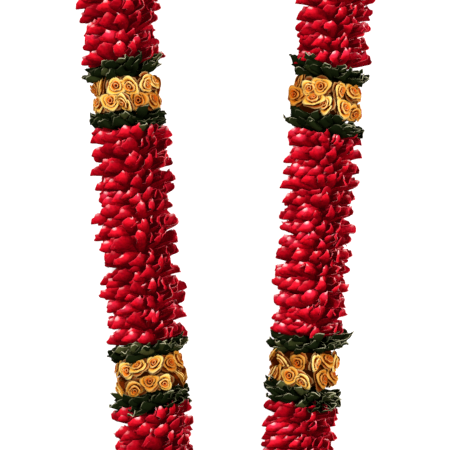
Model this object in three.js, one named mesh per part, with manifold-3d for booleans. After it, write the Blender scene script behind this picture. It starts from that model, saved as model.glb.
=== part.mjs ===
// Rose petal garland: a closed loop of red petals on one thread, broken by bands of small gold roses
// between collars of dark leaves. It lies flat: z = 0 is the surface under it, +Y runs to the neck end.
// Millimetres, +Z up, origin on the surface under the middle of the loop.
import * as THREE from "three";
import { mergeVertices } from "three/addons/utils/BufferGeometryUtils.js";
import Module from "manifold-3d";

// ---- The loop ----
const CHEST_BEND = 63.5; // radius of the thread at the chest end
const NECK_BEND = 111; // radius of the thread at the neck end
const BEND_SPACING = 562; // between the centres of the two bends
const AXIS_HEIGHT = 31; // the thread above the surface, which presses the lowest petals flat
const BANDS_PER_SIDE = 3; // stretches of petals on each side, each from one gold band to the next
const BAND_SHIFT = [0, 3, -2, 0]; // strung by hand: right bands off even spacing, left ones opposite
const WALL = 1.2; // thickness of a petal or a leaf
const GAP = 0.3; // between pieces that touch

// ---- Thread and cores ----
const SIDES = 6; // of the thread, its bores and the cores of crushed petal bases, and petals round one
const THREAD_RADIUS = 1;
const BORE_RADIUS = 1.6;
const CORE_RADIUS = 7;
const BEND_STEP = 32; // longest straight run of the thread in a bend
const BUNCH_LAYERS = [4, 3, 4]; // layers of petals in each piece of a stretch

// ---- Lengths along the strand, from the middle of a gold band ----
const GOLD_HALF = 16; // half the bundle of bound stems
const COLLAR_AFTER = 27; // end of the leaf collar above a band
const COLLAR_BEFORE = 39; // start of the leaf collar below a band
const LOWER_LEAVES = [18.2, 23.8]; // base of each ring of leaves above a band
const UPPER_LEAVES = [-35, -29]; // base of each ring of leaves below a band
const FIRST_PETALS = 3; // base of the first petals of a stretch, above the collar
const LAST_PETALS = 14; // base of its last petals, below the next collar

// ---- Gold roses ----
const STEM_CORE_RADIUS = 15; // bundle of bound stems under the roses
const STEM_CORE_SIDES = 8;
const ROSE_COLUMNS = 20; // round the band, in turn on one row and on the other
const ROSE_REACH = 34.5; // thread to the rim of a rose
const ROSE_RADIUS = 9.2;
const ROSE_ROOT = 9; // thread to the point of a rose's cone
const ROSE_LEAN = 0.1; // most that a rose leans, along the strand
const ROSE_PETALS = 5;
const ROW_OFFSET = 9.2; // of the two rows from the middle of the band
const OUTER_ROW_OFFSET = 9.9; // of the outer rows where the outside of a bend makes room for three
const WIDE = 1.25; // stretch of the band's outside that makes room for three rows
const TIGHT = 0.75; // stretch of its inside that leaves room for one

// ---- Petals and leaves ----
// Lobes of a thin cup round the core. Each place is its distance from the thread, its rise along the
// strand from the cup's base, and how far the wall's outer face looks away from the thread there.
const PETAL = {
  belly: { radius: 29, rise: 3.5, outward: 0.6 },
  shoulder: { radius: 36.4, rise: 13, outward: 0.95 },
  tip: { radius: 38.3, rise: 20, outward: 1 },
  halfWidth: 0.93, // of a lobe's share of the circle
  roll: 2.2, // one shoulder higher than the other
  sway: 3, // spread of the lobes' heights
  lean: 0.07, // spread of the whole cup's slope
  folded: false,
};
const LEAF = {
  belly: { radius: 25, rise: 2.2, outward: 0.3 },
  shoulder: { radius: 27, rise: 4, outward: 0.4 },
  tip: { radius: 37.2, rise: 5.6, outward: 0.6 },
  halfWidth: 0.9,
  roll: 0.4,
  sway: 1,
  lean: 0.02,
  folded: true, // along its midrib, from belly to tip
};

const FULL_TURN = 2 * Math.PI;
const LOBE = FULL_TURN / SIDES;
const FLARE = Math.asin((NECK_BEND - CHEST_BEND) / BEND_SPACING); // lean of the straight sides
const CHEST_ARC = CHEST_BEND * (Math.PI / 2 - FLARE);
const SIDE_END = CHEST_ARC + BEND_SPACING * Math.cos(FLARE);
const HALF_LOOP = SIDE_END + NECK_BEND * (Math.PI / 2 + FLARE);
const PITCH = HALF_LOOP / BANDS_PER_SIDE;
const CHEST_Y = (CHEST_BEND - NECK_BEND - BEND_SPACING) / 2;
const NECK_Y = CHEST_Y + BEND_SPACING;

const [petalRed, leafGreen, roseGold, threadCream] = [
  [0xb80d24, 0.42],
  [0x1c2b18, 0.5],
  [0xe0a33e, 0.55],
  [0xe8e0d0, 0.9],
].map(([color, roughness]) => new THREE.MeshStandardMaterial({ color, roughness, metalness: 0 }));

// A seeded run of numbers from 0 to 1.
function seeded(seed) {
  let state = seed >>> 0;
  return () => {
    state = (state + 0x6d2b79f5) >>> 0;
    let mixed = Math.imul(state ^ (state >>> 15), state | 1);
    mixed ^= mixed + Math.imul(mixed ^ (mixed >>> 7), mixed | 61);
    return ((mixed ^ (mixed >>> 14)) >>> 0) / 2 ** 32;
  };
}

// The thread's line: s runs from the middle of the chest end up one side (1 right, -1 left) to the
// middle of the neck end. Gives the point, the way up the strand and the way out of the loop.
function strandAt(side, s) {
  const onNeck = s > SIDE_END;
  const turn = Math.min(s, CHEST_ARC) / CHEST_BEND + Math.max(s - SIDE_END, 0) / NECK_BEND;
  const straight = onNeck ? 0 : Math.max(s - CHEST_ARC, 0);
  const along = new THREE.Vector3(side * Math.cos(turn), Math.sin(turn), 0);
  const out = new THREE.Vector3(side * Math.sin(turn), -Math.cos(turn), 0);
  const point = new THREE.Vector3(0, onNeck ? NECK_Y : CHEST_Y, AXIS_HEIGHT);
  point.addScaledVector(out, onNeck ? NECK_BEND : CHEST_BEND).addScaledVector(along, straight);
  return { point, along, out };
}

// The unit vector across the strand: angle 0 points out of the loop and a quarter turn points up.
function across(frame, angle) {
  return frame.out.clone().multiplyScalar(Math.cos(angle)).setZ(Math.sin(angle));
}

// A point at a radius and angle round the strand, kept at or above a height over the surface.
function onStrand(side, s, radius, angle, lowest = 0) {
  const frame = strandAt(side, s);
  const point = frame.point.addScaledVector(across(frame, angle), radius);
  return point.setZ(Math.max(point.z, lowest));
}

function circle(side, s, radius, count = SIDES, phase = 0) {
  const turnOf = (k) => phase + (k / count) * FULL_TURN;
  return Array.from({ length: count }, (_, k) => onStrand(side, s, radius, turnOf(k)));
}

// Two triangles for each side of a tube between two circles of points, given by their first indices.
function tubeFaces(from, to, count = SIDES) {
  return Array.from({ length: count }, (_, k) => (k + 1) % count).flatMap((next, k) => [
    [from + k, from + next, to + k],
    [from + next, to + next, to + k],
  ]);
}

// The points and triangles of one closed skin.
class Skin {
  points = [];
  faces = [];

  // Adds points and gives the index of the first.
  add(points) {
    this.points.push(...points);
    return this.points.length - points.length;
  }

  // Its geometry, facing outwards whichever way round it was built.
  geometry() {
    const normal = new THREE.Vector3();
    const tetrahedra = this.faces.map((face) => {
      const [a, b, c] = face.map((i) => this.points[i]);
      return a.dot(normal.crossVectors(b, c));
    });
    const outwards = tetrahedra.reduce((sum, v) => sum + v, 0) > 0;
    const index = this.faces.flatMap(([a, b, c]) => (outwards ? [a, b, c] : [a, c, b]));
    return new THREE.BufferGeometry().setFromPoints(this.points).setIndex(index);
  }
}

// Where the thread's straight runs meet between two places on the strand, both included.
function threadStops(from, to) {
  const bendStops = [
    [0, CHEST_ARC],
    [SIDE_END, HALF_LOOP],
  ].flatMap(([start, end]) => {
    const runs = Math.ceil((end - start) / BEND_STEP);
    return Array.from({ length: runs + 1 }, (_, i) => start + ((end - start) * i) / runs);
  });
  return [from, ...bendStops.filter((s) => s > from + 1 && s < to - 1), to];
}

// A plain rod along one side of the strand through the given stops, with flat ends.
function rod(side, stops, radius, count = SIDES) {
  const skin = new Skin();
  const circles = stops.map((s) => skin.add(circle(side, s, radius, count)));
  const last = circles.at(-1);
  circles.slice(1).forEach((ring, i) => skin.faces.push(...tubeFaces(circles[i], ring, count)));
  for (let k = 1; k + 1 < count; k++) {
    skin.faces.push([0, k + 1, k], [last, last + k, last + k + 1]);
  }
  return skin.geometry();
}

// The thread: one closed line through every piece. In a bend it also turns where pieces meet.
function threadLoop(joints) {
  const inBend = (s) => s < CHEST_ARC || s > SIDE_END;
  const stopsUp = (side) => {
    const turning = [0, ...joints[side].filter(inBend), HALF_LOOP].sort((a, b) => a - b);
    const stops = turning.slice(1).flatMap((s, i) => threadStops(turning[i], s).slice(1));
    return stops.filter((s, i) => i === 0 || s - stops[i - 1] > 2 * GAP);
  };
  const skin = new Skin();
  const up = stopsUp(1).map((s) => [1, s]);
  const down = stopsUp(-1).slice(0, -1).reverse().map((s) => [-1, s]);
  const circles = [[1, 0], ...up, ...down].map(([side, s]) => skin.add(circle(side, s, THREAD_RADIUS)));
  circles.forEach((ring, i) => skin.faces.push(...tubeFaces(ring, circles[(i + 1) % circles.length])));
  return skin.geometry();
}

// One face of a cup: 1 is the outer, 0 lies a wall further in, point for point alike.
function cupFace(skin, side, base, phase, shape, cup, face) {
  const place = ({ radius, rise, outward }, angle, more = 0) => {
    const tilt = radius * (cup.lean[0] * Math.cos(angle) + cup.lean[1] * Math.sin(angle));
    const inset = (0.5 - face) * WALL;
    const s = base + rise + more + tilt + inset * Math.sqrt(1 - outward * outward);
    return onStrand(side, s, radius - inset * outward, angle, face ? 0 : WALL);
  };
  const joint = skin.add(circle(side, base + (0.5 - face) * WALL, CORE_RADIUS, SIDES, phase));
  const rims = [];
  const faces = [];
  cup.lobes.forEach(({ reach, lift, roll, turn }, k) => {
    const middle = phase + (k + 0.5) * LOBE;
    const half = (LOBE / 2) * shape.halfWidth;
    const longer = (spot) => ({ ...spot, radius: spot.radius + reach });
    const belly = skin.add([
      place(shape.belly, middle + turn, lift * 0.3),
      place(longer(shape.shoulder), middle - half, lift - roll),
      place(longer(shape.tip), middle + turn, lift),
      place(longer(shape.shoulder), middle + half, lift + roll),
    ]);
    const [left, tip, right] = [belly + 1, belly + 2, belly + 3];
    const [corner, nextCorner] = [joint + k, joint + ((k + 1) % SIDES)];
    rims.push([corner, left, tip, right, nextCorner]);
    faces.push([corner, belly, nextCorner], [corner, left, belly], [belly, right, nextCorner]);
    if (shape.folded) faces.push([left, tip, belly], [tip, right, belly]);
    else faces.push([left, right, belly], [left, tip, right]);
  });
  return { joint, rims, faces };
}

// A sleeve on the thread with thin cups standing out of it, each cut into petals or leaves.
function cuppedSleeve(side, from, to, bases, shape, random) {
  const skin = new Skin();
  const spread = (size) => (random() - 0.5) * size;
  const start = skin.add(circle(side, from, CORE_RADIUS));
  let core = start;
  bases.forEach((base, j) => {
    const phase = ((j % 2) * LOBE) / 2;
    const lobes = Array.from({ length: SIDES }, () => ({
      reach: spread(1.6),
      lift: spread(shape.sway),
      roll: shape.roll * (1 + spread(1.2)),
      turn: spread(0.1),
    }));
    const cup = { lean: [spread(shape.lean), spread(shape.lean)], lobes };
    const [outer, inner] = [1, 0].map((face) => cupFace(skin, side, base, phase, shape, cup, face));
    skin.faces.push(...tubeFaces(core, outer.joint));
    skin.faces.push(...outer.faces.map(([a, b, c]) => [a, c, b]), ...inner.faces);
    outer.rims.forEach((rim, k) => {
      rim.slice(1).forEach((to, i) => {
        const [from, innerFrom, innerTo] = [rim[i], inner.rims[k][i], inner.rims[k][i + 1]];
        skin.faces.push([from, to, innerFrom], [to, innerTo, innerFrom]);
      });
    });
    core = inner.joint;
  });
  const lastPhase = (((bases.length + 1) % 2) * LOBE) / 2;
  const end = skin.add(circle(side, to, CORE_RADIUS, SIDES, lastPhase));
  const bore = threadStops(from, to).reverse().map((s) => skin.add(circle(side, s, BORE_RADIUS)));
  const inwards = [core, end, ...bore, start];
  inwards.slice(1).forEach((ring, i) => skin.faces.push(...tubeFaces(inwards[i], ring)));
  return skin.geometry();
}

// One gold rose: a cone that opens to a wavy rim, with a bud standing in its hollow.
function rose(side, s, angle, size, random) {
  const frame = strandAt(side, s);
  const w = across(frame, angle).addScaledVector(frame.along, (random() - 0.5) * 2 * ROSE_LEAN).normalize();
  const u = new THREE.Vector3().crossVectors(frame.along, w).normalize();
  const v = new THREE.Vector3().crossVectors(w, u);
  const spin = random() * FULL_TURN;
  const at = (radius, k, height) => {
    const turn = spin + (k / ROSE_PETALS) * FULL_TURN;
    const point = frame.point.clone().addScaledVector(w, height);
    point.addScaledVector(u, radius * Math.cos(turn)).addScaledVector(v, radius * Math.sin(turn));
    return point.setZ(Math.max(point.z, 0));
  };
  const round = (radius, height, wave) =>
    Array.from({ length: ROSE_PETALS }, (_, k) => at(radius, k, height + wave * (random() - 0.5)));
  const skin = new Skin();
  const root = skin.add([at(0, 0, ROSE_ROOT)]);
  const rim = skin.add(round(size, ROSE_REACH - 0.8, 1.6));
  const hollow = skin.add(round(size * 0.55, ROSE_REACH - 3.6, 1));
  const bud = skin.add([at(0, 0, ROSE_REACH)]);
  for (let k = 0; k < ROSE_PETALS; k++) {
    const next = (k + 1) % ROSE_PETALS;
    skin.faces.push([root, rim + next, rim + k], [bud, hollow + k, hollow + next]);
  }
  skin.faces.push(...tubeFaces(rim, hollow, ROSE_PETALS));
  return skin.geometry();
}

// Where the roses of a band sit, as [place along the strand, angle]. The outside of a bend has room
// for three rows and its inside for one.
function rosePlaces(middle, bend, random) {
  const places = [];
  for (let column = 0; column < ROSE_COLUMNS; column++) {
    const angle = (column / ROSE_COLUMNS - 0.5) * FULL_TURN;
    const stretch = 1 + (ROSE_REACH / bend) * Math.cos(angle);
    const even = column % 2 === 0;
    const offset = ROW_OFFSET * Math.min(stretch, 1);
    let rows = [even ? -offset : offset];
    if (stretch > WIDE) rows = even ? [-OUTER_ROW_OFFSET, OUTER_ROW_OFFSET] : [0];
    if (stretch < TIGHT) rows = even ? [0] : [];
    for (const row of rows) {
      places.push([middle + row + (random() - 0.5) * 0.8, angle + (random() - 0.5) * 0.03]);
    }
  }
  return places;
}

const wasm = await Module();
wasm.setup();

function solidOf(geometry) {
  const merged = mergeVertices(geometry, 1e-5);
  const vertProperties = new Float32Array(merged.attributes.position.array);
  const triVerts = new Uint32Array(merged.index.array);
  return new wasm.Manifold(new wasm.Mesh({ numProp: 3, vertProperties, triVerts }));
}

// The outer shell of a solid's largest body, so that scraps go and sealed hollows are filled.
function geometryOf(solid) {
  const [largest] = solid.decompose().sort((a, b) => b.volume() - a.volume());
  const mesh = largest.getMesh();
  return new THREE.BufferGeometry()
    .setAttribute("position", new THREE.BufferAttribute(mesh.vertProperties, 3))
    .setIndex(new THREE.BufferAttribute(mesh.triVerts, 1));
}

// A band of gold roses on its bundle of bound stems, bored for the thread.
function roseBand(side, middle, bend, random) {
  const ends = [middle - GOLD_HALF, middle + GOLD_HALF];
  const stops = Number.isFinite(bend) ? [ends[0], middle, ends[1]] : ends;
  let band = solidOf(rod(side, stops, STEM_CORE_RADIUS, STEM_CORE_SIDES));
  for (const [s, angle] of rosePlaces(middle, bend, random)) {
    const size = ROSE_RADIUS * (0.95 + 0.08 * random());
    band = band.add(solidOf(rose(side, s, angle, size, random)));
  }
  const cutter = [ends[0] - 2, ...threadStops(...ends).slice(1, -1), ends[1] + 2]; // past both ends
  return geometryOf(band.subtract(solidOf(rod(side, cutter, BORE_RADIUS))));
}

const garland = new THREE.Group();

function addPiece(name, geometry, material) {
  const mesh = new THREE.Mesh(geometry, material);
  mesh.name = name;
  garland.add(mesh);
}

// One stretch between two gold bands: a collar of leaves, the petals, and a collar of leaves.
function addStretch(side, number, joints) {
  const hand = side > 0 ? "right" : "left";
  const seed = (side > 0 ? 100 : 200) + 10 * number;
  const below = (number - 1) * PITCH + side * BAND_SHIFT[number - 1];
  const above = number * PITCH + side * BAND_SHIFT[number];
  const lowerCollar = [below + GOLD_HALF + GAP, below + COLLAR_AFTER];
  const upperCollar = [above - COLLAR_BEFORE, above - GOLD_HALF - GAP];
  const lowerLeaves = LOWER_LEAVES.map((offset) => below + offset);
  const upperLeaves = UPPER_LEAVES.map((offset) => above + offset);
  const leaves = `leaves_${hand}_${number}`;
  const lower = cuppedSleeve(side, ...lowerCollar, lowerLeaves, LEAF, seeded(seed));
  const upper = cuppedSleeve(side, ...upperCollar, upperLeaves, LEAF, seeded(seed + 1));
  addPiece(`${leaves}_lower`, lower, leafGreen);
  addPiece(`${leaves}_upper`, upper, leafGreen);
  joints.push(...lowerCollar, ...upperCollar);

  const first = lowerCollar[1] + FIRST_PETALS;
  const step = (upperCollar[0] - LAST_PETALS - first) / (BUNCH_LAYERS.reduce((sum, n) => sum + n) - 1);
  const next = (base) => base - step / 8; // where the piece that starts with this layer starts
  let base = first;
  BUNCH_LAYERS.forEach((layers, bunch) => {
    const bases = Array.from({ length: layers }, (_, j) => base + j * step);
    const from = bunch === 0 ? lowerCollar[1] + GAP : next(base);
    base += layers * step;
    const to = bunch === BUNCH_LAYERS.length - 1 ? upperCollar[0] - GAP : next(base) - GAP;
    const petals = cuppedSleeve(side, from, to, bases, PETAL, seeded(seed + 2 + bunch));
    addPiece(`petals_${hand}_${number}_${bunch + 1}`, petals, petalRed);
    joints.push(from, to);
  });
  if (number === 1) return;
  const roses = roseBand(side, below, Infinity, seeded(seed + 5));
  addPiece(`gold_roses_${hand}_${number - 1}`, roses, roseGold);
}

const joints = { 1: [GOLD_HALF, HALF_LOOP - GOLD_HALF], [-1]: [GOLD_HALF, HALF_LOOP - GOLD_HALF] };
for (const side of [1, -1]) {
  for (let number = 1; number <= BANDS_PER_SIDE; number++) addStretch(side, number, joints[side]);
}
addPiece("gold_roses_chest", roseBand(1, 0, CHEST_BEND, seeded(301)), roseGold);
addPiece("gold_roses_neck", roseBand(1, HALF_LOOP, NECK_BEND, seeded(302)), roseGold);
addPiece("thread", threadLoop(joints), threadCream);

export default garland;
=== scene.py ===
"""Looks of the rose petal garland: rings of petals, leaf collars, gold roses, light and camera."""
import math

import bpy
import numpy as np
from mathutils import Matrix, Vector


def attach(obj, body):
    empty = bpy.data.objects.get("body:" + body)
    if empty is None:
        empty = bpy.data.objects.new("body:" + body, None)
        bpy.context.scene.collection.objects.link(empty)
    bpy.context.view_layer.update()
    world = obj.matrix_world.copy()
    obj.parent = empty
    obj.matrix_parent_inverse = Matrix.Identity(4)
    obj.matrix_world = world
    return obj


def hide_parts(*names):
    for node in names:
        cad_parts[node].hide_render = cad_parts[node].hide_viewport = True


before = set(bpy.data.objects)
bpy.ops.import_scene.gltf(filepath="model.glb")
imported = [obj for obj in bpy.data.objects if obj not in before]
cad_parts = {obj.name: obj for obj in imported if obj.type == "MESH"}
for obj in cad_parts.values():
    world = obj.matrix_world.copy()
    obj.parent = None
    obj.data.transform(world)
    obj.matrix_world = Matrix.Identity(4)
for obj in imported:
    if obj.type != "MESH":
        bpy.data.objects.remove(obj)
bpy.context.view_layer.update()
METRES = 0.001  # in a millimetre


class Form:
    """Named measures of one kind of thing."""

    def __init__(self, **form):
        self.__dict__.update(form)


# ---------------------------------------------------------------- measures

# Lengths are in millimetres up to the materials. Angles round the strand are in radians, from its outer
# side over its top. "Spread" is how far a draw goes to either side of its middle, and "tilt" is a rise
# for each millimetre to the right.

# The loop, as the frame has it
CHEST_BEND = 63.5  # radius of the thread at the chest end
NECK_BEND = 111  # and at the neck end
BEND_SPACING = 562  # between the centres of the two bends
AXIS_HEIGHT = 31  # of the thread above the surface
STRETCHES = 3  # of petals on each side of the loop, with a gold band at both ends of each
BAND_SHIFT = (0, 3, -2, 0)  # of the right bands off even spacing; the left ones shift the other way
FLARE = math.asin((NECK_BEND - CHEST_BEND) / BEND_SPACING)
CHEST_ARC = CHEST_BEND * (math.pi / 2 - FLARE)
SIDE_END = CHEST_ARC + BEND_SPACING * math.cos(FLARE)
HALF_LOOP = SIDE_END + NECK_BEND * (math.pi / 2 + FLARE)
PITCH = HALF_LOOP / STRETCHES
CHEST_Y = (CHEST_BEND - NECK_BEND - BEND_SPACING) / 2
NECK_Y = CHEST_Y + BEND_SPACING

# The surface that it lies on
SOFT_GROUND = 4  # height in which what hangs lower is pressed flat
LOWEST = 0.3  # height of the flattest sheet's middle, so that its own thickness clears the surface

# Along the strand from the middle of a gold band, as in the frame
GOLD_HALF = 16  # to the end of the gold
COLLAR_AFTER = 27  # to the end of the leaves above it
COLLAR_BEFORE = 39  # to the start of the leaves below it
FIRST_PETALS = 3  # from a collar to the frame's first layer of petals
LAST_PETALS = 14  # from its last layer to the next collar
BUNCH_LAYERS = (4, 3, 4)  # layers that the frame gives each piece of a stretch
SPLIT_AHEAD = 1 / 8  # of the layers' spacing, from the start of a further piece to its first layer

# The bound stems and bases that everything stands on
PETAL_STEM_RADIUS = 13
LEAF_STEM_RADIUS = 20
ROSE_STEM_RADIUS = 23.5
STEM_BUMPS = 0.5
ROSE_STEM_BUMPS = 1.5
STEM_GAP = 0.4  # at the ends of petal stems, and of leaf stems next to the gold
LEAF_STEM_GAP = 0.1  # at the end of leaf stems next to the petals
STEM_SIDES = 24
STEM_ROW = 6  # spacing of the points along the stems
BORE = 1.6  # radius of the hole for the thread

# Rings of petals
PETAL_SEED = 11
RINGS = 14  # in a stretch
RING_LEAD = 0.5  # of the first ring, below the frame's first layer
LAST_RING = 13  # from the last ring to the next collar
RING_SPREAD = 0.9  # of a ring's place along the strand
RING_SINK = 3  # of the outer petals' roots below that place, because petals slope up
INNER_RISE = 5  # of the inner petals' roots above it
OUTER_PETALS = 14
INNER_PETALS = 12
RING_TURN = 0.61  # radians from one ring to the next
EXTRA_TURN = 0.2  # radians at the most, in rings of petals and of leaves
INNER_TURN = 0.2  # radians from the outer petals to the inner ones
SEAT_SPREAD = 0.22  # of a petal or leaf in its ring, as a share of the angle between neighbours
RING_TILT = 0.08  # of the rings, which all rise towards the right
RING_TILT_SPREAD = 0.05
RING_SIZES = (0.96, 1.02)  # of the smallest and the largest ring
FULLNESS = {"left": 0.99, "right": 0.91}  # of the petals on each side of the loop

# Collars of leaves
LEAF_SEED = 23
LOWER_LEAF_RINGS = (17.0, 19.4, 22.4, 25.6)  # from the band below the leaves
UPPER_LEAF_RINGS = (-37.6, -34.4, -31.0, -27.4)  # from the band above them
LEAVES_IN_RING = 12
LEAF_RING_TURN = 0.37  # radians from one ring to the next
LEAF_TILT_SPREAD = 0.03
STRAY_LEAF = Form(collar="right_2_lower", along=17, angle=0.3, tone=0.75)  # stands out sideways

# Bands of roses
ROSE_SEED = 37
ROSE_COLUMNS = 24
ROSE_REACH = 34.5  # from the thread to the top of a rose's bud
ROSE_SCALES = (0.92, 1.12)  # of the smallest and the largest rose
ROW_OFFSET = 8.4  # of two rows from the middle of the band
OUTER_ROW_OFFSET = 10.6  # of the first and the last of three rows
WIDE = 1.25  # stretch above which the outside of a bend has three rows
TIGHT = 0.75  # stretch below which its inside has one
ROW_SPREAD = 1.4
COLUMN_SPREAD = 0.06  # radians
STRAY_ROSE = Form(band="right_2", along=-0.5, angle=2.75, lift=5.5)  # stands out sideways

# How much the roses of a band, and the leaves above and below it, rise towards the right
TILTS = {
    "left_1": Form(roses=0.08, above=0.12, below=0.1),
    "left_2": Form(roses=0.0, above=0.14, below=-0.1),
    "right_1": Form(roses=0.0, above=0.1, below=-0.1),
    "right_2": Form(roses=-0.1, above=-0.12, below=-0.15),
}
EVEN = Form(roses=0, above=0, below=0)


# ---------------------------------------------------------------- the strand

def smooth(low, high, value):
    """From 0 at low to 1 at high, level at both."""
    t = np.clip((value - low) / (high - low), 0, 1)
    return t * t * (3 - 2 * t)


def strand(side, s, outwards, upwards):
    """Points from the place s along the strand and the offsets out of the loop and up.

    s starts at the middle of the chest end and runs up the right side (1) or the left one (-1).
    """
    turn = np.minimum(s, CHEST_ARC) / CHEST_BEND + np.maximum(s - SIDE_END, 0) / NECK_BEND
    on_neck = s > SIDE_END
    straight = np.where(on_neck, 0, np.maximum(s - CHEST_ARC, 0))
    bend = np.where(on_neck, NECK_BEND, CHEST_BEND) + outwards
    middle = np.where(on_neck, NECK_Y, CHEST_Y)
    x = side * (bend * np.sin(turn) + straight * np.cos(turn))
    y = middle - bend * np.cos(turn) + straight * np.sin(turn)
    z = AXIS_HEIGHT + upwards
    squeeze = SOFT_GROUND - LOWEST
    low = LOWEST + squeeze * np.exp(np.minimum(z - SOFT_GROUND, 0) / squeeze)
    return np.stack([x, y, np.where(z < SOFT_GROUND, low, z)], axis=-1)


def bands(side):
    """Places of the gold bands along one side, with the chest band first and the neck band last."""
    return [i * PITCH + side * BAND_SHIFT[i] for i in range(STRETCHES + 1)]


def hand_of(side):
    return "right" if side > 0 else "left"


# ---------------------------------------------------------------- meshes

class Sheets:
    """Thin closed sheets gathered into one mesh.

    Each point knows its place on the sheet, the tones of the sheet and of the flower or ring that it
    belongs to, and whether it is on the inner face.
    """

    def __init__(self):
        self.points = []
        self.faces = []
        self.places = []
        self.tones = []
        self.inner = []
        self.count = 0

    def add(self, middle, along, thickness, tones, flower):
        """Sheets from their middles, as (sheets, rows, columns, 3), with each row's place along them."""
        n, rows, columns = middle.shape[:3]
        normal = np.cross(np.gradient(middle, axis=2), np.gradient(middle, axis=1))
        normal /= np.linalg.norm(normal, axis=-1, keepdims=True) + 1e-9
        both = np.stack([middle + normal * thickness / 2, middle - normal * thickness / 2], axis=1)
        starts = self.count + np.arange(n) * 2 * rows * columns
        faces = starts[:, None, None] + self._sheet_faces(rows, columns)[None]
        self.faces.append(faces.reshape(-1, 4))
        self.points.append(both.reshape(-1, 3))
        v, u = np.meshgrid(along, np.linspace(0, 1, columns), indexing="ij")
        place = np.stack([u, v], axis=-1)
        self.places.append(np.broadcast_to(place, (n, 2, rows, columns, 2)).reshape(-1, 2))
        sheet_tones = np.stack([tones, np.full(n, flower)], axis=-1)
        self.tones.append(np.repeat(sheet_tones, 2 * rows * columns, axis=0))
        self.inner.append(np.tile(np.repeat([0.0, 1.0], rows * columns), n))
        self.count += n * 2 * rows * columns

    def add_closed(self, loop):
        """A plain closed skin from its rows of points, the last row being the first one again."""
        n, sides = loop.shape[0] - 1, loop.shape[1]
        index = np.arange(n * sides).reshape(n, sides)
        index = np.concatenate([index, index[:1]])
        following = np.roll(index, -1, axis=1)
        faces = np.stack([index[:-1], following[:-1], following[1:], index[1:]], axis=-1)
        self.faces.append(faces.reshape(-1, 4) + self.count)
        self.points.append(loop[:-1].reshape(-1, 3))
        # painted shade: the stems take the place of a root and the lowest tones, so they are as dark as
        # the shade inside the strand
        root_shade_place = [0.5, 0.1]
        self.places.append(np.tile(root_shade_place, (n * sides, 1)))
        self.tones.append(np.zeros((n * sides, 2)))
        self.inner.append(np.zeros(n * sides))
        self.count += n * sides

    @staticmethod
    def _sheet_faces(rows, columns):
        """Corners of one sheet's faces: its front, its back and the rim that joins them."""
        index = np.arange(rows * columns).reshape(rows, columns)
        a, b = index[:-1, :-1].ravel(), index[:-1, 1:].ravel()
        c, d = index[1:, 1:].ravel(), index[1:, :-1].ravel()
        front = np.stack([a, b, c, d], axis=1)
        other = rows * columns
        back = front[:, ::-1] + other
        loop = np.concatenate([index[0, :], index[1:, -1], index[-1, -2::-1], index[-2:0:-1, 0]])
        following = np.roll(loop, -1)
        rim = np.stack([following, loop, loop + other, following + other], axis=1)
        return np.concatenate([front, back, rim])

    def make(self, name, material):
        """One object of all the sheets, in metres."""
        points = np.concatenate(self.points) * METRES
        faces = np.concatenate(self.faces)
        mesh = bpy.data.meshes.new(name)
        mesh.from_pydata(points.tolist(), [], faces.tolist())
        mesh.materials.append(material)
        mesh.shade_smooth()
        corners = np.empty(len(mesh.loops), dtype=np.int32)
        mesh.loops.foreach_get("vertex_index", corners)
        inner = np.concatenate(self.inner)
        layers = {
            "place": np.concatenate(self.places),
            "tone": np.concatenate(self.tones),
            "face": np.stack([inner, inner], axis=-1),
        }
        for layer, values in layers.items():
            spread = values[corners].astype(np.float32).ravel()
            mesh.uv_layers.new(name=layer).data.foreach_set("uv", spread)
        piece = bpy.data.objects.new(name, mesh)
        bpy.context.scene.collection.objects.link(piece)
        return piece


def tube(side, stops, radius, bumps=0.0, rng=None):
    """Rows of points round the thread at the stops, roughened where it has bumps."""
    angle = np.linspace(0, 2 * math.pi, STEM_SIDES, endpoint=False)
    s = np.asarray(stops)[:, None] + np.zeros(STEM_SIDES)
    r = radius + (bumps * rng.uniform(-1, 1, s.shape) if bumps else np.zeros(s.shape))
    return strand(side, s, r * np.cos(angle), r * np.sin(angle))


def stems(sheets, side, start, end, radius, rng, bumps=STEM_BUMPS):
    """A bundle of stems: its wall, the bore for the thread and both ends in one closed skin."""
    rows = max(2, int((end - start) / STEM_ROW) + 1)
    stops = np.linspace(start, end, rows)
    wall = tube(side, stops, radius, bumps=bumps, rng=rng)
    bore = tube(side, stops[::-1], BORE)
    loop = np.concatenate([wall, bore, wall[:1]])
    sheets.add_closed(loop[:, ::-1] if side > 0 else loop)


# ---------------------------------------------------------------- petals and leaves

# A blade leaves the stems at "first" above the way out, turns up along the strand by "wall" and curls
# back by "curl". It swirls about the line along the strand and rolls about the line out of it. All of
# these are in degrees. "cusp" is how far its tip's sides fall away, and "point" how far a point stands
# out of the tip, at "nose" from the middle. "blunt" is how much it narrows to the tip, and "shift"
# spreads the roots along the strand. "from" and "to" are places from 0 at its root to 1 at its tip.
OUTER = Form(
    rows=9, columns=9, thickness=0.35, tones=(0.1, 1),
    length=39.4, spread=2.6, half_width=12.9, root=7.5, shift=0.9, cup=4.6,
    first=27, first_spread=9, wall=58, wall_spread=12, bend_from=0.45, bend_to=0.9,
    curl=6, curl_spread=38, curl_from=0.86, swirl=38, swirl_spread=16, roll=27, roll_spread=15,
    cusp=0.1, point=0.035, nose=-0.18, blunt=0.2, ragged=0.02, wave=1.8,
)
# the inner petals draw only the lower tones: painted shade in the gaps between the rings
INNER = Form(
    rows=6, columns=7, thickness=0.35, tones=(0, 0.65),
    length=32, spread=3, half_width=10.2, root=7.5, shift=2.0, cup=4.4,
    first=24, first_spread=8, wall=54, wall_spread=12, bend_from=0.45, bend_to=0.9,
    curl=10, curl_spread=42, curl_from=0.84, swirl=44, swirl_spread=24, roll=30, roll_spread=22,
    cusp=0.13, point=0.05, nose=-0.1, blunt=0.2, ragged=0.02, wave=1.5,
)
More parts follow.
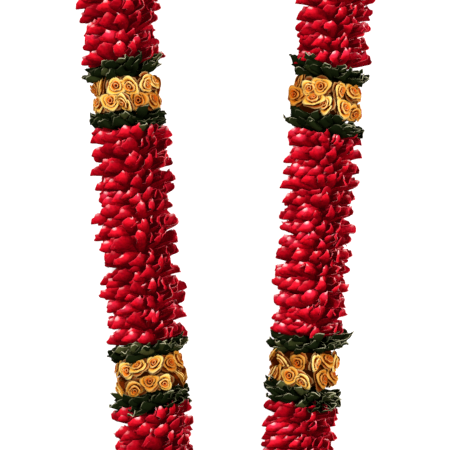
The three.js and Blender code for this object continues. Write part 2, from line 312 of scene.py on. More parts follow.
LEAF = Form(
    rows=7, columns=9, thickness=0.4, tones=(0, 1),
    length=34, spread=3.5, half_width=9.8, root=8, shift=0.8, cup=5.2,
    first=4, first_spread=8, wall=66, wall_spread=12, bend_from=0.45, bend_to=0.95,
    curl=24, curl_spread=50, curl_from=0.78, swirl=34, swirl_spread=26, roll=24, roll_spread=24,
    cusp=0.24, point=0.0, nose=-0.1, blunt=0.36, ragged=0.01, wave=1.6,
)
STANDING_LEAF = Form(**{
    **vars(LEAF), "length": 49, "spread": 0, "first": 25, "first_spread": 0, "wall": 38, "wall_spread": 0,
    "curl": 40, "curl_spread": 0, "swirl": 58, "swirl_spread": 0, "roll": 0, "roll_spread": 0,
})
BLADE = Form(  # what petals and leaves have in common
    crowding=1.6,  # of the rows towards the tip, where it shows; 1 would space them evenly
    steps=48,  # in which the middle line is followed from root to tip
    throw=1.6,  # how much longer the blades are on one side of a ring, and shorter on the other
    rags=9,  # of the ragged edge, as radians from the middle to the side
    rag_shift=7,  # radians for each millimetre of length, so that every edge has its own rags
    point_width=0.25,  # of the point in the middle of the tip, where 1 is half the width
    point_bend=1.4,  # of that point, outwards
    point_from=0.86,
    root_width=0.24,  # where 1 is the full width
    widening=0.76,  # from the root to the shoulder
    shoulder=0.68,  # place along the blade where it is widest
    past_shoulder=0.32,  # from there to the tip
    roundness=1.3,  # of the widening: more of it keeps the foot of the blade slim
    width_spread=0.9,
    cup_spread=1.2,
    cup_edge=2.2,  # power that keeps the bottom of the cup flat and its sides steep
    cup_to=0.45,
    waves=4.2,  # radians from the middle to the side
    waves_spread=1.2,
    waves_along=3,  # radians from the root to the tip
    swirl_from=0.1,
    swirl_to=0.75,
)


def row_places(rows):
    """Places of the rows along a blade."""
    return 1 - (1 - np.linspace(0, 1, rows)) ** BLADE.crowding


def middle_lines(length, form, vary):
    """Out, up and slope along each blade's middle: out from the stems, up into a wall, out at the tip."""
    wall = np.radians(vary(form.wall_spread, form.wall))
    curl = np.radians(vary(form.curl_spread, form.curl))
    fine = np.linspace(0, 1, BLADE.steps + 1)[None, :, None]
    slope = math.radians(form.first) + vary(math.radians(form.first_spread))
    slope = slope + wall * smooth(form.bend_from, form.bend_to, fine)
    slope = slope - curl * smooth(form.curl_from, 1, fine)
    step = length / BLADE.steps
    start = np.zeros(length.shape)
    out = np.concatenate([start, np.cumsum(np.cos(slope) * step, axis=1)[:, :-1]], axis=1)
    up = np.concatenate([start, np.cumsum(np.sin(slope) * step, axis=1)[:, :-1]], axis=1)
    return out, up, slope


def read_line(line, reach):
    """Values of a middle line where each point of the blade reaches, from 0 at the root to 1."""
    at = np.clip(reach * BLADE.steps, 0, BLADE.steps - 0.001)  # so that a next step is always there
    low = np.floor(at).astype(int)
    index = low.reshape(len(low), -1)
    before = np.take_along_axis(line[:, :, 0], index, axis=1).reshape(low.shape)
    after = np.take_along_axis(line[:, :, 0], index + 1, axis=1).reshape(low.shape)
    return before + (after - before) * (at - low)


def blades(side, base, angles, form, rng, lean, size):
    """Mid-surfaces of a ring of blades that stand out of the strand at the given angles.

    x runs across a blade, out away from the thread and up along the strand.
    """

    def vary(spread, middle=0.0):
        return middle + spread * rng.uniform(-1, 1, (len(angles), 1, 1))

    u = np.linspace(-1, 1, form.columns)[None, None, :]
    v = row_places(form.rows)[None, :, None]
    thrown_to = rng.uniform(0, 2 * math.pi)
    thrown = BLADE.throw * np.cos(angles - thrown_to)[:, None, None]
    length = size * (vary(form.spread, form.length) + thrown)
    middle_out, middle_up, slope = middle_lines(length, form, vary)
    # The tip falls away from a point in its middle. High powers of v keep to the tip.
    beside = u - form.nose
    point = np.exp(-((beside / BLADE.point_width) ** 2))
    reach = v * (1 - form.cusp * beside**2 * v**2 - form.point * (1 - point) * v**6)
    rags = 1 + np.sin(BLADE.rags * u + BLADE.rag_shift * length)
    reach = reach * (1 - form.ragged * rags * v**8)
    out = read_line(middle_out, reach)
    up = read_line(middle_up, reach)
    angle = read_line(slope, reach)
    # It widens to a shoulder and narrows again.
    opened = np.sin(np.clip(v / BLADE.shoulder, 0, 1) * math.pi / 2) ** BLADE.roundness
    width = vary(BLADE.width_spread, form.half_width) * (BLADE.root_width + BLADE.widening * opened)
    narrowed = np.clip((v - BLADE.shoulder) / BLADE.past_shoulder, 0, 1)
    width = width * (1 - form.blunt * narrowed**2)
    x = u * width
    # Its sides are cupped towards the thread, its surface is waved, and its point bends outwards.
    depth = vary(BLADE.cup_spread, form.cup) * np.abs(u) ** BLADE.cup_edge * smooth(0.0, BLADE.cup_to, v)
    phase = vary(math.pi) + u * vary(BLADE.waves_spread, BLADE.waves) + v * BLADE.waves_along
    wave = form.wave * v**2 * np.sin(phase)
    offset = depth + wave - BLADE.point_bend * point * smooth(BLADE.point_from, 1, v)
    inwards = offset * np.sin(angle)
    swirl = np.radians(vary(form.swirl_spread, form.swirl))
    swirl = swirl * smooth(BLADE.swirl_from, BLADE.swirl_to, v)
    out = form.root + out - x * np.sin(swirl) - inwards * np.cos(swirl)
    x = x * np.cos(swirl) - inwards * np.sin(swirl)
    up = up + offset * np.cos(angle)
    roll = np.radians(vary(form.roll_spread, form.roll)) * v
    x, up = x * np.cos(roll) - up * np.sin(roll), x * np.sin(roll) + up * np.cos(roll)
    # x runs to the right as seen from above the strand, on both sides of the loop
    right = side * x
    e_out = np.cos(angles)[:, None, None]
    e_up = np.sin(angles)[:, None, None]
    outwards = out * e_out + right * e_up
    upwards = out * e_up - right * e_out
    s = base + vary(form.shift) + up + lean[0] * outwards + lean[1] * upwards
    return strand(side, s, outwards, upwards)


def ring(sheets, side, base, count, form, rng, phase, lean, size=1):
    """Petals or leaves all round the strand, with one tone each and one for the ring."""
    seats = np.arange(count) + rng.uniform(-SEAT_SPREAD, SEAT_SPREAD, count)
    angles = phase + seats * 2 * math.pi / count
    middle = blades(side, base, angles, form, rng, lean, size)
    tones = rng.uniform(*form.tones, count)
    sheets.add(middle, row_places(form.rows), form.thickness, tones, rng.uniform(0, 1))


def ring_bases(below, above):
    """Places of a stretch's rings, between the bands below and above it."""
    first = below + COLLAR_AFTER + FIRST_PETALS - RING_LEAD
    return np.linspace(first, above - COLLAR_BEFORE - LAST_RING, RINGS)


def bunch_limits(below, above):
    """Where each piece of a stretch of petals starts and the last one ends, as in the frame."""
    first = below + COLLAR_AFTER + FIRST_PETALS
    step = (above - COLLAR_BEFORE - LAST_PETALS - first) / (sum(BUNCH_LAYERS) - 1)
    splits = [first + (layers - SPLIT_AHEAD) * step for layers in np.cumsum(BUNCH_LAYERS)[:-1]]
    return [below + COLLAR_AFTER, *splits, above - COLLAR_BEFORE]


def petal_stretch(side, number, material):
    """The pieces of one stretch of petals."""
    below, above = bands(side)[number - 1:number + 1]
    limits = bunch_limits(below, above)
    bases = ring_bases(below, above)
    hand = hand_of(side)
    for bunch in range(len(BUNCH_LAYERS)):
        rng = np.random.default_rng([PETAL_SEED, side + 1, number, bunch])
        sheets = Sheets()
        start, end = limits[bunch], limits[bunch + 1]
        stems(sheets, side, start + STEM_GAP, end - STEM_GAP, PETAL_STEM_RADIUS, rng)
        for i, base in enumerate(bases):
            if not start <= base < end:
                continue
            lean = np.array([side * RING_TILT, 0])
            lean = lean + rng.uniform(-RING_TILT_SPREAD, RING_TILT_SPREAD, 2)
            phase = i * RING_TURN + rng.uniform(0, EXTRA_TURN)
            base = base + rng.uniform(-RING_SPREAD, RING_SPREAD)
            size = FULLNESS[hand] * rng.uniform(*RING_SIZES)
            ring(sheets, side, base - RING_SINK, OUTER_PETALS, OUTER, rng, phase, lean, size)
            ring(sheets, side, base + INNER_RISE, INNER_PETALS, INNER, rng, phase + INNER_TURN, lean, size)
        piece = sheets.make(f"petal_rings_{hand}_{number}_{bunch + 1}", material)
        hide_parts(f"petals_{hand}_{number}_{bunch + 1}")
        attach(piece, "root")


def stray_leaf(sheets, side, below, rng):
    """The one leaf that stands out of its collar's side."""
    angles = np.array([STRAY_LEAF.angle])
    middle = blades(side, below + STRAY_LEAF.along, angles, STANDING_LEAF, rng, lean=(0, 0), size=1)
    sheets.add(middle, row_places(LEAF.rows), LEAF.thickness, np.array([STRAY_LEAF.tone]), flower=0)


def leaf_collar(side, number, end, material):
    """The leaves at the lower or the upper end of one stretch of petals."""
    below, above = bands(side)[number - 1:number + 1]
    hand = hand_of(side)
    if end == "lower":
        rise = TILTS.get(f"{hand}_{number - 1}", EVEN).above
        bases = [below + s for s in LOWER_LEAF_RINGS]
        first, last = below + GOLD_HALF + STEM_GAP, below + COLLAR_AFTER - LEAF_STEM_GAP
    else:
        rise = TILTS.get(f"{hand}_{number}", EVEN).below
        bases = [above + s for s in UPPER_LEAF_RINGS]
        first, last = above - COLLAR_BEFORE + LEAF_STEM_GAP, above - GOLD_HALF - STEM_GAP
    rng = np.random.default_rng([LEAF_SEED, side + 1, number, end == "upper"])
    sheets = Sheets()
    stems(sheets, side, first, last, LEAF_STEM_RADIUS, rng)
    for i, base in enumerate(bases):
        lean = np.array([side * rise, 0]) + rng.uniform(-LEAF_TILT_SPREAD, LEAF_TILT_SPREAD, 2)
        phase = i * LEAF_RING_TURN + rng.uniform(0, EXTRA_TURN)
        ring(sheets, side, base, LEAVES_IN_RING, LEAF, rng, phase, lean)
    if STRAY_LEAF.collar == f"{hand}_{number}_{end}":
        stray_leaf(sheets, side, below, rng)
    piece = sheets.make(f"leaf_ring_{hand}_{number}_{end}", material)
    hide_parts(f"leaves_{hand}_{number}_{end}")
    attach(piece, "root")


# ---------------------------------------------------------------- gold roses

# Whorls from the middle of a rose outwards. "sweep" is half of a petal's angle, in radians.
BUD = Form(
    petals=2, rows=5, columns=7, tone=0.5,
    radius=1.9, height=8.8, sweep=2.1, roll=0.5, point=0.1, ripple=0,
)
MIDDLE_WHORL = Form(
    petals=3, rows=5, columns=8, tone=0.72,
    radius=4.2, height=8.6, sweep=1.4, roll=1.5, point=0.26, ripple=0.06,
)
OPEN_WHORL = Form(
    petals=3, rows=6, columns=11, tone=0.95,
    radius=6.5, height=6.6, sweep=1.3, roll=2.6, point=0.32, ripple=0.08,
)
# the whorl underneath takes the darkest tones: painted shade between the roses
UNDER_WHORL = Form(
    petals=4, rows=4, columns=6, tone=0.18,
    radius=8.8, height=3.8, sweep=0.9, roll=2.3, point=0.15, ripple=0.05,
)
WHORL = Form(  # what the whorls have in common; radii and heights are shares of the whorl's own
    thickness=0.45,
    tone_spread=0.1,
    turn_spread=0.2,  # radians
    sizes=(0.86, 1.1),  # of the smallest and the largest petal
    throat=0.34,  # radius at a petal's foot
    opening=0.66,  # from there to the full radius
    shoulder=0.75,  # place up the petal where the cup is full
    roundness=0.9,  # of the cup's side
    steepness=1.15,  # of the rise to the shoulder
    roll_from=0.62,
    roll_beside=0.5,  # less roll at a petal's sides than in its middle
    drop=0.55,  # of the rolled rim, for each millimetre that it rolls out
    drop_from=0.7,
    narrowing=0.1,  # of the rim's sides towards the rose's axis
    point_width=0.3,  # where 1 is half of the petal's width
    overlap=0.13,  # by which one side lies over the next petal and the other one under it
    ripples=5,  # radians from the middle to the side
    side_drop=0.16,
    height_spread=0.6,  # millimetres
)
ROSE = Form(
    lean=0.6,  # at the most, as millimetres a millimetre
    lift=(-0.9, 1.2),  # of the lowest and the highest rose
    side_shade_draw=2.1,  # power of the draw for a rose's tone, halfway up the band's side
    side_shade_above=1.3,  # less on the top, where the roses are painted brighter, as in light, and more below, where they are painted darker, as in shade
)


def rose_petals(whorl, scale, start, rng):
    """Cupped petals round a rose's own axis with their rims rolled back, as (petals, rows, columns, 3)."""
    count, height = whorl.petals, whorl.height
    u = np.linspace(-1, 1, whorl.columns)[None, None, :]
    v = np.linspace(0, 1, whorl.rows)[None, :, None]
    turn = start + np.arange(count) / count * 2 * math.pi
    turn = turn + rng.uniform(-WHORL.turn_spread, WHORL.turn_spread, count)
    size = whorl.radius * scale * rng.uniform(*WHORL.sizes, (count, 1, 1))
    angle = turn[:, None, None] + u * whorl.sweep
    # up the cup to its shoulder, then over and down at the rolled rim
    risen = np.minimum(v / WHORL.shoulder, 1)
    over = smooth(WHORL.roll_from, 1, v) * whorl.roll * (1 - WHORL.roll_beside * u**2)
    opened = np.sin(risen * math.pi / 2) ** WHORL.roundness
    r = size * (WHORL.throat + WHORL.opening * opened) + over
    z = height * risen**WHORL.steepness - WHORL.drop * over * smooth(WHORL.drop_from, 1, v)
    # a blunt point in the middle of the rim, and one side tucked under the next petal
    point = np.exp(-((u / WHORL.point_width) ** 2))
    r = r * (1 - WHORL.narrowing * u**2 * v**2) + whorl.point * size * point * v**5
    r = r + WHORL.overlap * size * u * v
    ripple = rng.uniform(0, 2 * math.pi, (count, 1, 1))
    r = r + whorl.ripple * size * np.sin(ripple + WHORL.ripples * u) * v**3
    uneven = rng.uniform(-WHORL.height_spread, WHORL.height_spread, (count, 1, 1))
    z = z - WHORL.side_drop * height * u**2 * v + uneven
    return np.stack([r * np.cos(angle), r * np.sin(angle), z], axis=-1)


def rose(sheets, side, s, angle, scale, rng, lift=0):
    """One small rose on the band: whorls that open round a tight bud."""
    lean_s, lean_a = rng.uniform(-ROSE.lean, ROSE.lean, 2)
    spin = rng.uniform(0, 2 * math.pi)
    # a rose's tone: drawn at random, and painted darker below and brighter on top, as light and shade fall
    flower = rng.uniform(0, 1) ** (ROSE.side_shade_draw - ROSE.side_shade_above * math.sin(angle))
    foot = ROSE_REACH - BUD.height + rng.uniform(*ROSE.lift) + lift
    bend = CHEST_BEND if abs(s) < CHEST_ARC else NECK_BEND
    bent = abs(s) < CHEST_ARC or s > SIDE_END
    for whorl in (BUD, MIDDLE_WHORL, OPEN_WHORL, UNDER_WHORL):
        local = rose_petals(whorl, scale, spin + whorl.radius, rng)
        x, y, z = local[..., 0], local[..., 1], local[..., 2]
        z = z + x * lean_s + y * lean_a
        x, y = x - lean_s * z, y - lean_a * z
        z = z + foot
        outwards = z * math.cos(angle) - y * math.sin(angle)
        upwards = z * math.sin(angle) + y * math.cos(angle)
        tones = whorl.tone + rng.uniform(-WHORL.tone_spread, WHORL.tone_spread, whorl.petals)
        stretch = 1 + outwards.mean() / bend if bent else 1
        # x is turned over on the left, where the strand is mirrored, so that faces keep their sides
        middle = strand(side, s + side * x / stretch, outwards, upwards)
        sheets.add(middle, np.linspace(0, 1, whorl.rows), WHORL.thickness, tones, flower)


def rose_places(middle, bend, rng):
    """Two rows of roses in turn; three rows outside a bend and one inside it."""
    for column in range(ROSE_COLUMNS):
        angle = (column / ROSE_COLUMNS - 0.5) * 2 * math.pi
        stretch = 1 + ROSE_REACH / bend * math.cos(angle)
        even = column % 2 == 0
        offset = ROW_OFFSET * min(stretch, 1)
        rows = [-offset if even else offset]
        if stretch > WIDE:
            rows = [-OUTER_ROW_OFFSET, OUTER_ROW_OFFSET] if even else [0]
        if stretch < TIGHT:
            rows = [0] if even else []
        for row in rows:
            s = middle + row + rng.uniform(-ROW_SPREAD, ROW_SPREAD)
            yield s, angle + rng.uniform(-COLUMN_SPREAD, COLUMN_SPREAD)


def rose_band(side, middle, bend, node, material):
    """One band of gold roses, on a strand that bends with the given radius."""
    rng = np.random.default_rng([ROSE_SEED, side + 1, int(middle)])
    sheets = Sheets()
    ends = (middle - GOLD_HALF, middle + GOLD_HALF)
    stems(sheets, side, *ends, ROSE_STEM_RADIUS, rng, bumps=ROSE_STEM_BUMPS)
    rise = TILTS.get(node.removeprefix("gold_roses_"), EVEN).roses
    for s, angle in rose_places(middle, bend, rng):
        s = s + side * rise * ROSE_REACH * math.cos(angle)
        rose(sheets, side, s, angle, rng.uniform(*ROSE_SCALES), rng)
    if node == f"gold_roses_{STRAY_ROSE.band}":
        s = middle + STRAY_ROSE.along
        rose(sheets, side, s, STRAY_ROSE.angle, 1, rng, lift=STRAY_ROSE.lift)
    piece = sheets.make(f"{node}_blooms", material)
    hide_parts(node)
    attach(piece, "root")


# ---------------------------------------------------------------- materials

def grey(value):
    return (value, value, value)


class Material:
    """A node material with a few helpers, so that each finish below reads from top to bottom."""

    def __init__(self, name):
        self.material = bpy.data.materials.new(name)
        self.material.use_nodes = True
        self.nodes = self.material.node_tree.nodes
        self.links = self.material.node_tree.links
        self.shader = self.nodes["Principled BSDF"]

    def feed(self, socket, value):
        """Gives the socket another node's output, a colour of three values or a number."""
        if isinstance(value, bpy.types.NodeSocket):
            self.links.new(value, socket)
        elif isinstance(value, tuple):
            socket.default_value = (*value, 1)
        else:
            socket.default_value = value

    def node(self, kind, inputs, **settings):
        made = self.nodes.new("ShaderNode" + kind)
        for key, value in settings.items():
            setattr(made, key, value)
        for key, value in inputs.items():
            self.feed(made.inputs[key], value)
        return made

    def layer(self, name):
        """The two values, from 0 to 1, that the mesh keeps for each point under this name."""
        uv = self.node("UVMap", {}, uv_map=name)
        split = self.node("SeparateXYZ", {0: uv.outputs[0]})
        return split.outputs[0], split.outputs[1]

    def math(self, operation, a, b=0.0):
        return self.node("Math", {0: a, 1: b}, operation=operation).outputs[0]

    def times(self, a, b):
        return self.math("MULTIPLY", a, b)

    def minus(self, a, b):
        return self.math("SUBTRACT", a, b)

    def ramp(self, factor, *stops):
        """A colour from stops of a place on the ramp and the colour there."""
        made = self.node("ValToRGB", {0: factor})
        elements = made.color_ramp.elements
        while len(elements) < len(stops):
            elements.new(0.5)
        for element, (position, colour) in zip(elements, stops):
            element.position = position
            element.color = (*colour, 1)
        return made.outputs[0]

    def mix(self, factor, a, b, blend="MIX"):
        made = self.node("Mix", {0: factor, 6: a, 7: b}, data_type="RGBA", blend_type=blend)
        return made.outputs[2]

    def tint(self, colour, by):
        return self.mix(1.0, colour, by, "MULTIPLY")

    def rim(self, across, along, start):
        """From 0 to 1 over the last of the tip, and of the sides in the sheet's outer half."""
        beside = self.times(self.math("ABSOLUTE", self.minus(across, 0.5)), 2.0)
        beside = self.times(beside, self.math("GREATER_THAN", along, 0.5))
        over = self.minus(self.math("MAXIMUM", beside, along), start)
        return self.math("MAXIMUM", self.math("DIVIDE", over, 1 - start), 0.0)

    def veins(self, across, along, count):
        """Fine ridges that fan out from the root."""
        fan = self.times(self.minus(across, 0.5), count)
        where = self.node("CombineXYZ", {0: fan, 1: self.times(along, VEIN_LENGTHS)})
        noise = self.node("TexNoise", {"Vector": where.outputs[0], "Scale": 1.0, "Detail": 3.0})
        return noise.outputs[0]

    def mottle(self, scale):
        """Blotches that run on from sheet to sheet."""
        where = self.node("TexCoord", {}).outputs["Object"]
        return self.node("TexNoise", {"Vector": where, "Scale": scale, "Detail": 4.0}).outputs[0]

    def set(self, **values):
        """Inputs of the shader, with underscores for the spaces in their names."""
        for key, value in values.items():
            self.feed(self.shader.inputs[key.replace("_", " ")], value)

    def bump(self, height, strength, distance):
        made = self.node("Bump", {"Height": height, "Strength": strength, "Distance": distance})
        self.links.new(made.outputs[0], self.shader.inputs["Normal"])


VEIN_LENGTHS = 3.0  # cells of the veins' noise from a sheet's root to its tip
PETAL_FINISH = Form(
    mottle=260, veins=10, crease_shade=0.32, rim=0.94, rough=0.5, painted_glow=0.026, relief=0.8,
    relief_depth=0.001,
)
NOSE_HIGHLIGHT = Form(  # the painted highlight of a pale spot at a petal's tip
    across=0.42,
    slimness=7.2,
    shortness=8.0,
    edge=1.5,  # power that keeps its brightness to the middle
    glow=0.85,
    glow_falloff=0.2,
)
RED = Form(
    # the petals' reds, darker towards the root as painted shade
    root=(0.25, 0.0005, 0.003),
    waist=(0.29, 0.0005, 0.003),
    shoulder=(0.54, 0.002, 0.007),
    tip=(0.74, 0.005, 0.018),
    inner_root=(0.4, 0.001, 0.006),
    inner_shoulder=(0.6, 0.003, 0.014),
    inner_tip=(0.66, 0.005, 0.02),
    # painted shade on the right side of a petal's outer face, away from the light
    shaded_right_side=(0.66, 0.56, 0.56),
    crease_shade_colour=(0.2, 0.0, 0.01),
    # the painted highlight at a petal's tip
    nose=(1.0, 0.58, 0.58),
    painted_glow=(1, 0.014, 0.045),
)
SHADE = Form(dark=(0.5, 0.4, 0.5), middle=(0.85, 0.8, 0.85), bright=(1.05, 1.4, 1.15))
BLOTCHES = Form(dark=(0.66, 0.6, 0.62), bright=(1.2, 1.6, 1.5))
# painted highlights and shade on the petals' edges
RIM_HIGHLIGHT = Form(
    darkest=(0.15, 0.002, 0.008), dark=(0.36, 0.01, 0.03), pale=(0.88, 0.17, 0.2), palest=(1.0, 0.4, 0.38),
)
RIM_SHADE = Form(side=(0.14, 0.0005, 0.005), tip=(0.75, 0.025, 0.05))
# colours of the painted glow round a petal's nose
GLOW = Form(dark=(0.88, 0.01, 0.025), middle=(0.9, 0.014, 0.04), bright=(0.93, 0.04, 0.105))


def nose_highlight_and_glow(m, across, along):
    """The painted highlight of a pale nose where the tip curls over, and the painted glow round it."""
    beside = m.times(m.minus(across, NOSE_HIGHLIGHT.across), NOSE_HIGHLIGHT.slimness)
    below = m.times(m.minus(along, 1.0), NOSE_HIGHLIGHT.shortness)
    apart = m.math("ADD", m.times(beside, beside), m.times(below, below))
    nose = m.math("POWER", m.math("MAXIMUM", m.minus(1.0, apart), 0.0), NOSE_HIGHLIGHT.edge)
    glow = m.math("MAXIMUM", m.minus(1.0, m.times(apart, NOSE_HIGHLIGHT.glow_falloff)), 0.0)
    return nose, glow


def petal_material():
    m = Material("rose_petal")
    across, along = m.layer("place")
    tone, row = m.layer("tone")
    inside, _ = m.layer("face")
    # darker towards the root: painted shade where the petals go under the next ring; the inner faces are
    # painted lighter, to lift the shade in the petals' hollows
    outer = m.ramp(along, (0.5, RED.root), (0.66, RED.waist), (0.82, RED.shoulder), (0.95, RED.tip))
    # painted shade: the outer face darkens towards its right side, away from the light
    outer = m.tint(outer, m.ramp(across, (0.0, grey(1)), (0.5, grey(0.97)), (1.0, RED.shaded_right_side)))
    inner = m.ramp(along, (0.4, RED.inner_root), (0.75, RED.inner_shoulder), (0.95, RED.inner_tip))
    red = m.mix(inside, outer, inner)
    red = m.tint(red, m.ramp(tone, (0.0, SHADE.dark), (0.45, SHADE.middle), (1.0, SHADE.bright)))
    red = m.tint(red, m.ramp(row, (0.0, grey(0.8)), (1.0, grey(1.08))))
    mottle = m.mottle(PETAL_FINISH.mottle)
    red = m.tint(red, m.ramp(mottle, (0.36, BLOTCHES.dark), (0.5, grey(1)), (0.66, BLOTCHES.bright)))
    veins = m.veins(across, along, PETAL_FINISH.veins)
    # darker along the creases: painted shade in them
    crease_shade = m.ramp(veins, (0.42, grey(0)), (0.62, grey(1)))
    red = m.mix(m.times(crease_shade, PETAL_FINISH.crease_shade), red, RED.crease_shade_colour)
    # painted highlight: seen from inside, the edges of most petals are pale lines; painted shade: from
    # outside, their sides are dark outlines
    pale_rim = m.ramp(tone, (0.0, RIM_HIGHLIGHT.darkest), (0.3, RIM_HIGHLIGHT.dark), (0.6, RIM_HIGHLIGHT.pale),
                      (1.0, RIM_HIGHLIGHT.palest))
    dark_rim = m.ramp(along, (0.9, RIM_SHADE.side), (1.0, RIM_SHADE.tip))
    red = m.mix(m.rim(across, along, PETAL_FINISH.rim), red, m.mix(inside, dark_rim, pale_rim))
    # painted highlight: a pale nose at the tip and a glow round it; the darkest petals have no pale nose
    nose, glow = nose_highlight_and_glow(m, across, along)
    lit = m.ramp(tone, (0.0, grey(0)), (0.3, grey(0.1)), (0.6, grey(0.9)), (1.0, grey(1)))
    shine = m.ramp(row, (0.0, GLOW.dark), (0.6, GLOW.middle), (1.0, GLOW.bright))
    red = m.mix(m.times(m.times(glow, lit), NOSE_HIGHLIGHT.glow), red, shine)
    red = m.mix(m.times(nose, lit), red, RED.nose)
    m.set(Base_Color=red, Roughness=PETAL_FINISH.rough, Specular_IOR_Level=0.0)
    # a painted glow keeps a petal's shadows red, standing in for light that soaks through it
    m.set(Emission_Color=RED.painted_glow, Emission_Strength=PETAL_FINISH.painted_glow)
    m.bump(m.math("ADD", veins, mottle), PETAL_FINISH.relief, PETAL_FINISH.relief_depth)
    return m.material


LEAF_FINISH = Form(veins=12, vein_depth=0.5, rim=0.965, rough=0.5, relief=0.4, relief_depth=0.0005)
GREEN = Form(
    darkest=(0.005, 0.009, 0.002),
    dark=(0.0095, 0.015, 0.0035),
    light=(0.026, 0.034, 0.008),
    lightest=(0.095, 0.1, 0.03),
    vein=(0.004, 0.006, 0.003),
    dark_rim=(0.05, 0.05, 0.025),
    rim=(0.14, 0.14, 0.07),
    pale_rim=(0.55, 0.52, 0.33),
)


def leaf_material():
    m = Material("dark_leaf")
    across, along = m.layer("place")
    tone, _ = m.layer("tone")
    green = m.ramp(tone, (0.0, GREEN.darkest), (0.7, GREEN.dark), (0.86, GREEN.light),
                   (1.0, GREEN.lightest))
    veins = m.veins(across, along, LEAF_FINISH.veins)
    green = m.mix(m.times(veins, LEAF_FINISH.vein_depth), green, GREEN.vein)
    rim = m.ramp(tone, (0.0, GREEN.dark_rim), (0.5, GREEN.rim), (0.9, GREEN.pale_rim))
    green = m.mix(m.rim(across, along, LEAF_FINISH.rim), green, rim)
    m.set(Base_Color=green, Roughness=LEAF_FINISH.rough, Specular_IOR_Level=0.0)
    m.bump(veins, LEAF_FINISH.relief, LEAF_FINISH.relief_depth)
    return m.material


GOLD_FINISH = Form(
    veins=10, vein_depth=0.35, rim=0.78, rough=0.5, painted_glow=0.022, relief=0.3, relief_depth=0.0004,
)
GOLD = Form(
    # painted shade: the darkest browns, for the whorl underneath
    under_shade=(0.012, 0.0015, 0.0002),
    brown=(0.15, 0.022, 0.002),
    amber=(0.74, 0.13, 0.01),
    gold=(0.82, 0.25, 0.018),
    bright=(0.97, 0.58, 0.08),
    vein=(0.45, 0.11, 0.015),
    outer_rim=(0.72, 0.22, 0.02),
    inner_rim_highlight=(1.0, 0.93, 0.4),
    painted_glow=(1, 0.17, 0.0),
)
IN_THE_CUP = Form(foot=(0.38, 0.13, 0.02), side=(0.68, 0.36, 0.12), rim=(0.98, 0.97, 0.9))
TONE_AND_SIDE_SHADE = Form(old=(0.6, 0.36, 0.18), dimmer=(0.86, 0.74, 0.55), brightest=(1.0, 1.04, 1.06))


def gold_material():
    m = Material("gold_rose")
    across, along = m.layer("place")
    tone, flower = m.layer("tone")
    inside, _ = m.layer("face")
    gold = m.ramp(tone, (0.0, GOLD.under_shade), (0.2, GOLD.brown), (0.4, GOLD.amber), (0.7, GOLD.gold),
                  (1.0, GOLD.bright))
    # darker and more orange towards each petal's foot: the roses' deeper colour inside, with painted shade
    # down in the cup
    deep = m.ramp(along, (0.0, IN_THE_CUP.foot), (0.4, IN_THE_CUP.side), (0.78, IN_THE_CUP.rim))
    gold = m.tint(gold, deep)
    # painted highlights on the rims, pale on the inner faces and fainter on the whorl underneath, which is
    # in shade
    lit = m.ramp(tone, (0.0, grey(0)), (0.15, grey(0.25)), (0.45, grey(0.9)))
    rim = m.times(m.rim(across, along, GOLD_FINISH.rim), lit)
    gold = m.mix(rim, gold, m.mix(inside, GOLD.outer_rim, GOLD.inner_rim_highlight))
    veins = m.veins(across, along, GOLD_FINISH.veins)
    gold = m.mix(m.times(m.times(veins, along), GOLD_FINISH.vein_depth), gold, GOLD.vein)
    # tone that differs at random from rose to rose, with painted shade on the roses below and painted
    # light on those on top
    gold = m.tint(gold, m.ramp(flower, (0.0, TONE_AND_SIDE_SHADE.old), (0.45, TONE_AND_SIDE_SHADE.dimmer), (1.0, TONE_AND_SIDE_SHADE.brightest)))
    m.set(Base_Color=gold, Roughness=GOLD_FINISH.rough, Specular_IOR_Level=0.0)
    # a painted glow keeps the roses' shadows orange
    m.set(Emission_Color=GOLD.painted_glow, Emission_Strength=GOLD_FINISH.painted_glow)
    m.bump(veins, GOLD_FINISH.relief, GOLD_FINISH.relief_depth)
    return m.material


COTTON = Form(shade=(0.55, 0.48, 0.38), light=(0.82, 0.76, 0.66), relief=0.5, relief_depth=0.0003)


def thread_material():
    m = Material("cotton_thread")
    fibres = m.node("TexWave", {"Scale": 300.0, "Distortion": 2.0}).outputs["Fac"]
    m.set(Base_Color=m.mix(fibres, COTTON.shade, COTTON.light), Roughness=0.9)
    m.bump(fibres, COTTON.relief, COTTON.relief_depth)
    return m.material


# ---------------------------------------------------------------- stage, in metres

FLOOR_REACH = 12
SKY_STRENGTH = 0.26
KEY_LIGHT = Form(position=(-0.95, 0.95, 1.7), size=0.4, power=33)
FILL_LIGHT = Form(position=(1.05, 0.1, 1.7), size=0.8, power=35)
LENS = 110
SENSOR_WIDTH = 36
VIEW_CENTRE = (-0.002, 0.02225)
VIEW_WIDTH = 0.450
STRAND_TOP = 0.060


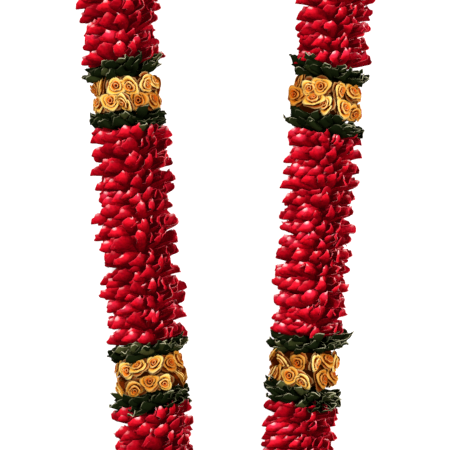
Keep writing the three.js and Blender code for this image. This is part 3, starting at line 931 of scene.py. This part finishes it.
def floor():
    mesh = bpy.data.meshes.new("floor")
    corners = [(-1, -1), (1, -1), (1, 1), (-1, 1)]
    points = [(x * FLOOR_REACH, y * FLOOR_REACH, 0) for x, y in corners]
    mesh.from_pydata(points, [], [(0, 1, 2, 3)])
    m = Material("paper_white")
    m.set(Base_Color=grey(0.6), Roughness=0.9, Specular_IOR_Level=0.1)
    m.set(Emission_Color=grey(1), Emission_Strength=0.7)
    mesh.materials.append(m.material)
    plane = bpy.data.objects.new("floor", mesh)
    bpy.context.scene.collection.objects.link(plane)


def area_light(name, form):
    """A round light that shines at the middle of the garland."""
    data = bpy.data.lights.new(name, "AREA")
    data.shape = "DISK"
    data.size = form.size
    data.energy = form.power
    light = bpy.data.objects.new(name, data)
    light.location = form.position
    light.rotation_mode = "QUATERNION"
    light.rotation_quaternion = (-Vector(form.position)).to_track_quat("-Z", "Y")
    bpy.context.scene.collection.objects.link(light)


def lights():
    world = bpy.data.worlds.new("studio")
    world.use_nodes = True
    background = world.node_tree.nodes["Background"]
    background.inputs["Color"].default_value = (1, 1, 1, 1)
    background.inputs["Strength"].default_value = SKY_STRENGTH
    bpy.context.scene.world = world
    area_light("key", KEY_LIGHT)
    area_light("fill", FILL_LIGHT)


def camera():
    """Looks straight down, from where VIEW_WIDTH fills the picture at the height of STRAND_TOP."""
    data = bpy.data.cameras.new("camera")
    data.lens = LENS
    data.sensor_width = SENSOR_WIDTH
    eye = bpy.data.objects.new("camera", data)
    eye.location = (*VIEW_CENTRE, STRAND_TOP + VIEW_WIDTH * LENS / SENSOR_WIDTH)
    bpy.context.scene.collection.objects.link(eye)
    bpy.context.scene.camera = eye


# ---------------------------------------------------------------- the garland

petal_red = petal_material()
leaf_green = leaf_material()
rose_gold = gold_material()
for hand_side in (1, -1):
    for stretch_number in range(1, STRETCHES + 1):
        petal_stretch(hand_side, stretch_number, petal_red)
        leaf_collar(hand_side, stretch_number, "lower", leaf_green)
        leaf_collar(hand_side, stretch_number, "upper", leaf_green)
    for band_number in range(1, STRETCHES):
        band_node = f"gold_roses_{hand_of(hand_side)}_{band_number}"
        rose_band(hand_side, bands(hand_side)[band_number], math.inf, band_node, rose_gold)
rose_band(1, 0.0, CHEST_BEND, "gold_roses_chest", rose_gold)
rose_band(1, HALF_LOOP, NECK_BEND, "gold_roses_neck", rose_gold)

for material_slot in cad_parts["thread"].material_slots:
    material_slot.material = thread_material()

floor()
lights()
camera()
bpy.context.scene.view_settings.view_transform = "Standard"
